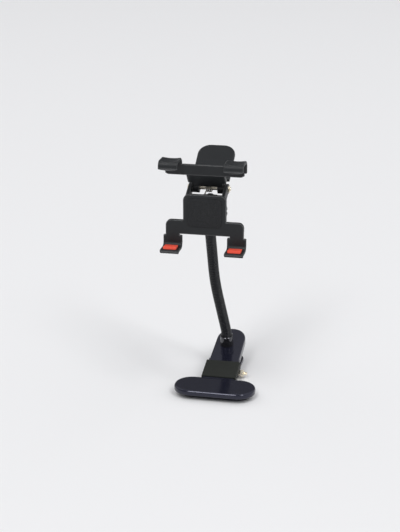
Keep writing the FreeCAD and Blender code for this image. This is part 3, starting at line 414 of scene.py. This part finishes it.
bendHeight, swayHeight = jointPoint("neck_bend")[2], jointPoint("neck_sway")[2]
split = firstAbove(swayHeight - neck["foldAboutSway"])
neckLower = neckHalf("neckWindingLower", neckPath[:split + 1], 0.0)
neckUpper = neckHalf("neckWindingUpper", neckPath[split:], neckDistance[split])
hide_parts("gooseneck")
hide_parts("gooseneck")
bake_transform(neckLower)
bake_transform(neckUpper)
print("neck wound:", round(float(neckDistance[-1]), 1), "mm long")

# Torsion springs: a helix about x, (pitch * turn, radius * cos(angle), radius * sin(angle)), with angles
# from +y towards +z, and a straight leg that leaves each end along the coil's tangent
clipHinge, jawHinge = jointPoint("clip_open"), jointPoint("jaw_open")
springs = {
    "clipSpring": {"centre": clipHinge, "radius": 2.7, "wire": 0.6, "turns": 3, "pitch": 1.7,
                   "fromAngle": 115.9, "toAngle": 270.0, "fromLeg": 19.4, "toLeg": 20.0,
                   "node": "clip_spring", "bodies": ("clip_lower", "clip_upper"),
                   "across": np.array([0, 0, 2.4])},
    "jawSpring": {"centre": jawHinge, "radius": 3.0, "wire": 0.55, "turns": 3, "pitch": 1.6,
                  "fromAngle": 280.0, "toAngle": 305.0, "fromLeg": 15.8, "toLeg": 18.0,
                  "node": "jaw_spring", "bodies": ("cradle_fixed", "cradle_moving"),
                  "across": np.array([0, 3.0, 0])}}


def springTube(look, perTurn=40, legSteps=24, around=14):
    sweep = look["turns"] + (look["toAngle"] - look["fromAngle"]) % 360 / 360
    turn = np.linspace(0, sweep, int(sweep * perTurn))
    angle = math.radians(look["fromAngle"]) + 2 * math.pi * turn
    coil = np.stack([look["pitch"] * (turn - sweep / 2), look["radius"] * np.cos(angle),
                     look["radius"] * np.sin(angle)], -1)
    way = np.stack([0 * angle, -np.sin(angle), np.cos(angle)], -1)
    first = coil[0] - way[0] * np.linspace(look["fromLeg"], 0, legSteps, endpoint=False)[:, None]
    last = coil[-1] + way[-1] * np.linspace(0, look["toLeg"], legSteps + 1)[1:, None]
    return tubeAlong(look["centre"] + np.vstack([first, coil, last]), look["wire"], around)


for springName, look in springs.items():
    spring = gridPiece(springName, springTube(look), drawnWire, capEnds=True, creaseAngle=60)
    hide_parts(look["node"])
    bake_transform(spring)
print("springs wound:", len(springs))


# Turned and threaded pieces: point = start + way * height + radius * (side * cos(a) + up * sin(a)), with
# the height and the radius given over a grid of rows and turns
def turnedGrid(start, way, height, radius):
    way = np.asarray(way, float)
    liesAlongX = abs(way[0]) > 0.9
    side = np.array([0, 1.0, 0]) if liesAlongX else np.array([1.0, 0, 0])
    up = np.cross(way, side)
    angle = np.linspace(0, 2 * math.pi, radius.shape[1], endpoint=False)
    ring = side * np.cos(angle)[:, None] + up * np.sin(angle)[:, None]
    return np.asarray(start) + way * height[..., None] + ring[None] * radius[..., None]


# Screw thread: radius = crest - depth * |2 * phase - 1|, phase = fraction of (height / pitch - turn). The
# cut deepens over one pitch after "from", and a chamfer draws the radius in at "to", the free end
def threadRadius(height, around, thread):
    turn = np.linspace(0, 1, around, endpoint=False)
    phase = (height[:, None] / thread["pitch"] - turn[None]) % 1.0
    cut = np.clip((height - thread["from"]) / thread["pitch"], 0, 1)[:, None]
    radius = thread["crest"] - thread["depth"] * np.abs(2 * phase - 1) * cut
    limit = thread["crest"] - thread["chamfer"] + np.abs(thread["to"] - height)[:, None]
    return np.minimum(radius, limit)


# Hexagon nut: the lesser of the flat's distance, half / cos(angle from the flat's middle), and a cone that
# takes the corners off each face. The bore is countersunk at each end, and a nut may stand on a collar.
# The chamfer's depth and start are shares of half the nut's width
nutForm = {"perSide": 10, "chamferRows": 7, "chamferDepth": 0.12, "chamferStart": 0.96, "coneAngle": 30.0}


def hexNut(name, look):
    around = 6 * nutForm["perSide"]
    half = look["across"] / 2
    angle = np.linspace(0, 360, around, endpoint=False) - look["corner"]
    flat = half / np.cos(np.radians(angle % 60 - 30))
    chamferHeights = np.linspace(0, nutForm["chamferDepth"], nutForm["chamferRows"]) * half
    fromFace = np.append(chamferHeights, look["thick"] / 2)
    cone = nutForm["chamferStart"] * half + fromFace / math.tan(math.radians(nutForm["coneAngle"]))
    lowerSides = np.minimum(flat[None], cone[:, None])
    sides = np.vstack([lowerSides, lowerSides[-2::-1]])
    sideHeights = np.append(fromFace, look["thick"] - fromFace[-2::-1]) + look["rise"]
    top, bore, sink = look["rise"] + look["thick"], look["bore"], look["sink"]
    collarRows = [(0.0, look["collar"]), (look["rise"], look["collar"])] if look["collar"] else []
    boreRows = [(top, bore + sink), (top - sink, bore), (sink, bore), (0.0, bore + sink)]
    height = np.concatenate([[h for h, _ in collarRows], sideHeights, [h for h, _ in boreRows]])
    radius = np.vstack([np.full((1, around), r) for _, r in collarRows] + [sides] +
                       [np.full((1, around), r) for _, r in boreRows])
    points = turnedGrid(look["start"], look["way"], np.broadcast_to(height[:, None], radius.shape), radius)
    return gridPiece(name, points, nickelSteel, closeRows=True, creaseAngle=25)


pinNutLow, _ = nodeBox("clip_pin_nut")
stemNutDrop = 8.2  # from the lever's top to the lower face of the nut
nuts = {
    "pinNut": {"start": (pinNutLow[0], clipHinge[1], clipHinge[2]), "way": (1, 0, 0), "across": 6.2,
               "thick": 3.2, "rise": 1.5, "collar": 2.6, "bore": 1.61, "sink": 0.25, "corner": 30.0,
               "node": "clip_pin_nut"},
    "stemNut": {"start": stemFoot - stemWay * stemNutDrop, "way": stemWay, "across": 13.0,
                "thick": 3.4, "rise": 0.0, "collar": 0.0, "bore": 4.01, "sink": 0.4, "corner": 0.0,
                "node": "stem_nut"}}
for nutName, look in nuts.items():
    nut = hexNut(nutName, look)
    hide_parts(look["node"])
    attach(nut, "clip_upper")

# Clip pin: a low pan head with a cross recess, a plain shank and a threaded tail. On the head the depth of
# the recess at (a, b) is recess * the larger of two bars, each 1 inside and fading to 0 over a short edge
pinLow, pinHigh = nodeBox("clip_pin")
clipPin = {"start": (pinLow[0], clipHinge[1], clipHinge[2]), "head": 3.2, "headThick": 2.0,
           "headRound": 1.2, "crown": 0.12, "recess": 0.9, "barHalf": 0.32, "barReach": 1.7,
           "barEdge": 0.16, "shank": 1.6, "around": 96, "faceRows": 44, "firstRing": 0.02, "rimRows": 10,
           "rowsPerPitch": 10, "runIn": 0.1,
           "thread": {"crest": 1.6, "depth": 0.34, "pitch": 0.7, "from": 33.2, "to": pinHigh[0] - pinLow[0],
                      "chamfer": 0.45}}


# 1 where a distance is inside the limit, 0 outside, and a straight fade over the edge between them
def inside(distance, limit, edge):
    return np.clip((limit - distance) / edge + 0.5, 0, 1)


def clipPinGrid(look):
    around, edge, thread = look["around"], look["barEdge"], look["thread"]
    angle = np.linspace(0, 2 * math.pi, around, endpoint=False)
    flat = look["head"] - look["headRound"]
    r = np.linspace(look["firstRing"], flat, look["faceRows"])[:, None]
    a, b = np.abs(r * np.cos(angle)), np.abs(r * np.sin(angle))
    barOne = inside(a, look["barHalf"], edge) * inside(b, look["barReach"], edge)
    barTwo = inside(b, look["barHalf"], edge) * inside(a, look["barReach"], edge)
    faceHeight = look["crown"] * (r / flat) ** 2 + look["recess"] * np.maximum(barOne, barTwo)
    bend = np.linspace(0, math.pi / 2, look["rimRows"])[1:]
    rimHeight = look["crown"] + look["headRound"] * (1 - np.cos(bend))
    rimRadius = flat + look["headRound"] * np.sin(bend)
    plainHeight = [look["headThick"], look["headThick"], thread["from"] - look["runIn"]]
    plainRadius = [look["head"], look["shank"], look["shank"]]
    tail = np.arange(thread["from"], thread["to"], thread["pitch"] / look["rowsPerPitch"])
    turnedHeight = np.concatenate([rimHeight, plainHeight, tail])
    turnedRadius = np.concatenate([rimRadius, plainRadius])
    height = np.vstack([faceHeight, np.repeat(turnedHeight[:, None], around, 1)])
    radius = np.vstack([np.repeat(r, around, 1), np.repeat(turnedRadius[:, None], around, 1),
                        threadRadius(tail, around, thread)])
    return turnedGrid(look["start"], (1, 0, 0), height, radius)


pin = gridPiece("clipPin", clipPinGrid(clipPin), nickelSteel, capEnds=True, creaseAngle=40)
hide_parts("clip_pin")
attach(pin, "clip_upper")

# Threaded end of the neck, below the lever: cut to its full depth all along, with its free end at height 0
stemBolt = {"length": 10.8, "around": 72, "rowsPerPitch": 10,
            "thread": {"crest": 4.0, "depth": 0.62, "pitch": 1.25, "from": -1.25, "to": 0.0, "chamfer": 0.7}}
boltHeight = np.arange(0, stemBolt["length"], stemBolt["thread"]["pitch"] / stemBolt["rowsPerPitch"])
boltRadius = threadRadius(boltHeight, stemBolt["around"], stemBolt["thread"])
boltGrid = turnedGrid(neckStart - stemWay * stemBolt["length"], stemWay,
                      np.broadcast_to(boltHeight[:, None], boltRadius.shape), boltRadius)
bolt = gridPiece("stemBolt", boltGrid, nickelSteel, capEnds=True, creaseAngle=50)
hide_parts("stem_bolt")
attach(bolt, "clip_upper")
print("nuts, pin and bolt turned")


# A closed outline of (y, z) corners, each eased by a curve between points up to ease away on its two sides:
# start * (1 - t)^2 + corner * 2 t (1 - t) + end * t^2. On a short side the ease takes mostShare of it
def easedOutline(corners, ease, perCorner=6, mostShare=0.45):
    corners = np.asarray(corners, float)
    before, after = np.roll(corners, 1, 0) - corners, np.roll(corners, -1, 0) - corners
    lengthBefore = np.linalg.norm(before, axis=1)
    lengthAfter = np.linalg.norm(after, axis=1)
    reach = np.minimum(ease, mostShare * np.minimum(lengthBefore, lengthAfter))[:, None]
    start = corners + before / lengthBefore[:, None] * reach
    end = corners + after / lengthAfter[:, None] * reach
    t = np.linspace(0, 1, perCorner)[None, :, None]
    eased = start[:, None] * (1 - t) ** 2 + 2 * corners[:, None] * t * (1 - t) + end[:, None] * t ** 2
    return eased.reshape(-1, 2)


# Soft pad: an outline carried along x. Near each end it draws in towards its middle by
# ease * (1 - sqrt(1 - t^2)), which rounds the ends over; crowding sets the stations closer there
def softPad(name, outline, xFrom, xTo, ease, finish, stations=24, crowding=0.6):
    turn = np.linspace(-1, 1, stations)
    x = (xFrom + xTo) / 2 + np.sign(turn) * np.abs(turn) ** crowding * (xTo - xFrom) / 2
    fromEnd = np.minimum(x - xFrom, xTo - x)
    t = np.clip(1 - fromEnd / ease, 0, 1)
    drawn = ease * (1 - np.sqrt(1 - t ** 2))
    middle = (outline.max(0) + outline.min(0)) / 2
    half = (outline.max(0) - outline.min(0)) / 2
    scale = 1 - drawn[:, None] / half[None]
    yz = middle + (outline[None] - middle) * scale[:, None]
    points = np.concatenate([np.broadcast_to(x[:, None, None], (*yz.shape[:2], 1)), yz], -1)
    return gridPiece(name, points, finish, capEnds=True)


# Claw pads: outlines from the back lower edge of the pad's own node; the lower ones have a lip in front
clawPads = {"ease": 0.45,
            "lower": {"body": "cradle_fixed",
                      "outline": [(0, 0), (0, 1.6), (-7.1, 1.6), (-7.7, 2.5), (-8.7, 2.5), (-9.0, 0)]},
            "upper": {"body": "cradle_moving",
                      "outline": [(0, 1.6), (-8.3, 1.6), (-8.3, 0), (0, 0)]}}
for level in ("lower", "upper"):
    for side in ("left", "right"):
        low, high = nodeBox(f"{level}_claw_pad_{side}")
        outline = easedOutline(clawPads[level]["outline"], clawPads["ease"]) + (high[1], low[2])
        pad = softPad(f"{level}ClawPad{side.capitalize()}", outline, low[0], high[0], clawPads["ease"],
                      coralSilicone)
        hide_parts(f"{level}_claw_pad_{side}")
        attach(pad, clawPads[level]["body"])


# Pads with a shaped face, in their node's box, over u and v from -1 to 1: x = halfWidth * u, and along is v
# times the half length less what the corner's arc takes,
# corner - sqrt(corner^2 - (|x| - halfWidth + corner)^2). The face's height over the seat is given by rise
def facedPad(name, look, rise, finish, across, stations):
    low, high = nodeBox(look["node"])
    facing = np.array(look["facing"], float)
    widthWay = np.array([1.0, 0, 0])
    lengthWay = np.cross(facing, widthWay)
    half = (high - low) / 2
    halfWidth, halfLength, halfThick = half[0], abs(half @ lengthWay), abs(half @ facing)
    seat = (low + high) / 2 - facing * halfThick
    u = np.sin(np.linspace(-1, 1, stations) * math.pi / 2)[:, None]
    v = np.linspace(1, -1, across)[None]
    x = halfWidth * u
    past = np.clip(np.abs(x) - halfWidth + look["corner"], 0, look["corner"])
    along = v * (halfLength - look["corner"] + np.sqrt(look["corner"] ** 2 - past ** 2))
    fromEdge = np.minimum((1 - np.abs(u)) * halfWidth, (1 - np.abs(v)) * halfLength)
    top = rise({"u": u, "v": v, "along": along, "fromEdge": fromEdge, "thick": 2 * halfThick})
    ringAlong = np.concatenate([along, along[:, ::-1]], 1)
    ringRise = np.concatenate([top, 0 * top], 1)
    ringX = np.broadcast_to(x, ringAlong.shape)
    points = seat + ringX[..., None] * widthWay + ringAlong[..., None] * lengthWay
    points = points + ringRise[..., None] * facing
    return gridPiece(name, points, finish, capEnds=True, creaseAngle=50)


# Rubber pads in the clip's jaws: flat faces with two grooves across, edges eased over a short band:
# rise = thick - ease * (1 - sqrt(1 - t^2)) - grooveDepth inside a groove
clipPads = {"corner": 5.85, "ease": 0.3, "grooveHalf": 0.8, "grooveDepth": 0.4, "grooveSide": 0.12,
            "groovesAt": (-2.3, 2.3), "across": 140, "stations": 90,
            "lower": {"node": "lower_jaw_pad", "body": "clip_lower", "facing": (0, 0, 1)},
            "upper": {"node": "upper_jaw_pad", "body": "clip_upper", "facing": (0, 0, -1)}}


def clipPadRise(face):
    t = np.clip(1 - face["fromEdge"] / clipPads["ease"], 0, 1)
    fromGroove = np.min([np.abs(face["along"] - at) for at in clipPads["groovesAt"]], 0)
    groove = inside(fromGroove, clipPads["grooveHalf"], clipPads["grooveSide"])
    return face["thick"] - clipPads["ease"] * (1 - np.sqrt(1 - t ** 2)) - clipPads["grooveDepth"] * groove


for level in ("lower", "upper"):
    look = dict(clipPads[level], corner=clipPads["corner"])
    pad = facedPad(level + "ClipPad", look, clipPadRise, blackRubber, clipPads["across"],
                   clipPads["stations"])
    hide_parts(look["node"])
    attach(pad, look["body"])

# Foam cushion on the cradle's back plate: crowned, thin at its edges, flat where it is stuck down:
# rise = edge + (thick - edge) * sqrt((1 - u^4) * (1 - v^4))
cushion = {"node": "back_cushion", "facing": (0, -1, 0), "corner": 4.0, "edge": 0.55, "across": 60,
           "stations": 60}


def cushionRise(face):
    crown = np.sqrt((1 - face["u"] ** 4) * (1 - face["v"] ** 4))
    return cushion["edge"] + (face["thick"] - cushion["edge"]) * crown


backCushion = facedPad("backCushion", cushion, cushionRise, foam, cushion["across"], cushion["stations"])
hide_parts("back_cushion")
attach(backCushion, "cradle_fixed")
print("pads made")

# Floor: one wide pale disc of rings, (radius * share * cos(a), radius * share * sin(a), -drop)
floorLook = {"radius": 60000.0, "ringShares": (0.00005, 0.005, 0.02, 0.1, 1.0), "around": 64, "drop": 0.05,
             "colour": "#ededee", "roughness": 0.9, "specular": 0.1}
floorTurn = np.linspace(2 * math.pi, 0, floorLook["around"], endpoint=False)
floorRing = np.stack([np.cos(floorTurn), np.sin(floorTurn), 0 * floorTurn], -1) * floorLook["radius"]
floorPoints = floorRing[None] * np.array(floorLook["ringShares"])[:, None, None] - (0, 0, floorLook["drop"])
floorFinish, floorTree, _ = startFinish("paleStudioPaper")
endFinish(floorTree, {"Base Color": linear(floorLook["colour"]), "Roughness": floorLook["roughness"],
                      "Specular IOR Level": floorLook["specular"]})
floor = gridPiece("studioFloor", floorPoints, floorFinish)

# Light: a room that is pale overhead, dim at middle height and pale again where the floor meets its far end,
# two tall soft boxes in front, one either side of the camera, and two wide lamps that open up the sides and
# the back. Room level over the height z of a direction: the larger of two ramps, one falling, one rising
scene.view_settings.view_transform = "Standard"
room = {"dim": 0.08, "overhead": 0.58, "farEnd": 0.84, "farEndTo": 0.05, "dimFrom": 0.15, "dimTo": 0.3,
        "paleFrom": 0.9, "tint": "#f4f5f8"}
world = bpy.data.worlds.new("paleRoom")
scene.world = world
world.use_nodes = True
worldTree = world.node_tree
worldTree.nodes.clear()
skyward = addNode(worldTree, "SeparateXYZ", links={0: addNode(worldTree, "TexCoord").outputs["Generated"]})
farEnd = addNode(worldTree, "MapRange", {"From Min": room["farEndTo"], "From Max": room["dimFrom"],
                                         "To Min": room["farEnd"], "To Max": room["dim"]},
                 {"Value": skyward.outputs["Z"]})
overhead = addNode(worldTree, "MapRange", {"From Min": room["dimTo"], "From Max": room["paleFrom"],
                                           "To Min": room["dim"], "To Max": room["overhead"]},
                   {"Value": skyward.outputs["Z"]})
roomLevel = addNode(worldTree, "Math", {"operation": "MAXIMUM"},
                    {0: farEnd.outputs["Result"], 1: overhead.outputs["Result"]})
sky = addNode(worldTree, "Background", {"Color": linear(room["tint"])},
              {"Strength": roomLevel.outputs["Value"]})
addNode(worldTree, "OutputWorld", links={"Surface": sky.outputs["Background"]})


# Unit direction from the object towards a compass angle (0 in front, 90 at the right) and a height angle
def towards(azimuth, elevation):
    azimuth, elevation = math.radians(azimuth), math.radians(elevation)
    return Vector((math.sin(azimuth) * math.cos(elevation), -math.cos(azimuth) * math.cos(elevation),
                   math.sin(elevation)))


lamps = {
    "leftBox": {"kind": "AREA", "azimuth": -14, "elevation": 50, "power": 1550.0, "wide": 4300,
                "tall": 12500},
    "rightBox": {"kind": "AREA", "azimuth": 45, "elevation": 50, "power": 1150.0, "wide": 3000,
                 "tall": 12500},
    "rightFill": {"kind": "SUN", "azimuth": 100, "elevation": 20, "power": 0.9, "spread": 100},
    "leftFill": {"kind": "SUN", "azimuth": 255, "elevation": 34, "power": 0.35, "spread": 60}}
lampAim, lampDistance = Vector((-10, -15, 90)) * mm, 20000 * mm
for lampName, look in lamps.items():
    lamp = bpy.data.lights.new(lampName, look["kind"])
    lamp.energy = look["power"]
    if look["kind"] == "AREA":
        lamp.shape, lamp.size, lamp.size_y = "RECTANGLE", look["wide"] * mm, look["tall"] * mm
    else:
        lamp.angle = math.radians(look["spread"])
    lampObject = bpy.data.objects.new(lampName, lamp)
    fromAim = towards(look["azimuth"], look["elevation"])
    lampObject.location = lampAim + fromAim * lampDistance
    lampObject.rotation_euler = (-fromAim).to_track_quat("-Z", "Y").to_euler()
    scene.collection.objects.link(lampObject)

# Camera at the photograph's viewing angle
eye = {"aim": (-22.2, -2.0, 109.3), "azimuth": 11.77, "elevation": 18.64, "distance": 1148.0, "lens": 84.59,
       "sensor": 36.0, "nearest": 10.0, "farthest": 100000.0}
back = towards(eye["azimuth"], eye["elevation"])
camera = bpy.data.cameras.new("photoCamera")
camera.lens = eye["lens"]
camera.sensor_width = eye["sensor"]
camera.clip_start, camera.clip_end = eye["nearest"] * mm, eye["farthest"] * mm
cameraObject = bpy.data.objects.new("photoCamera", camera)
cameraObject.location = Vector(eye["aim"]) * mm + back * eye["distance"] * mm
cameraObject.rotation_mode = "QUATERNION"
cameraObject.rotation_quaternion = (-back).to_track_quat("-Z", "Y")
scene.collection.objects.link(cameraObject)
scene.camera = cameraObject
print("light and camera set")
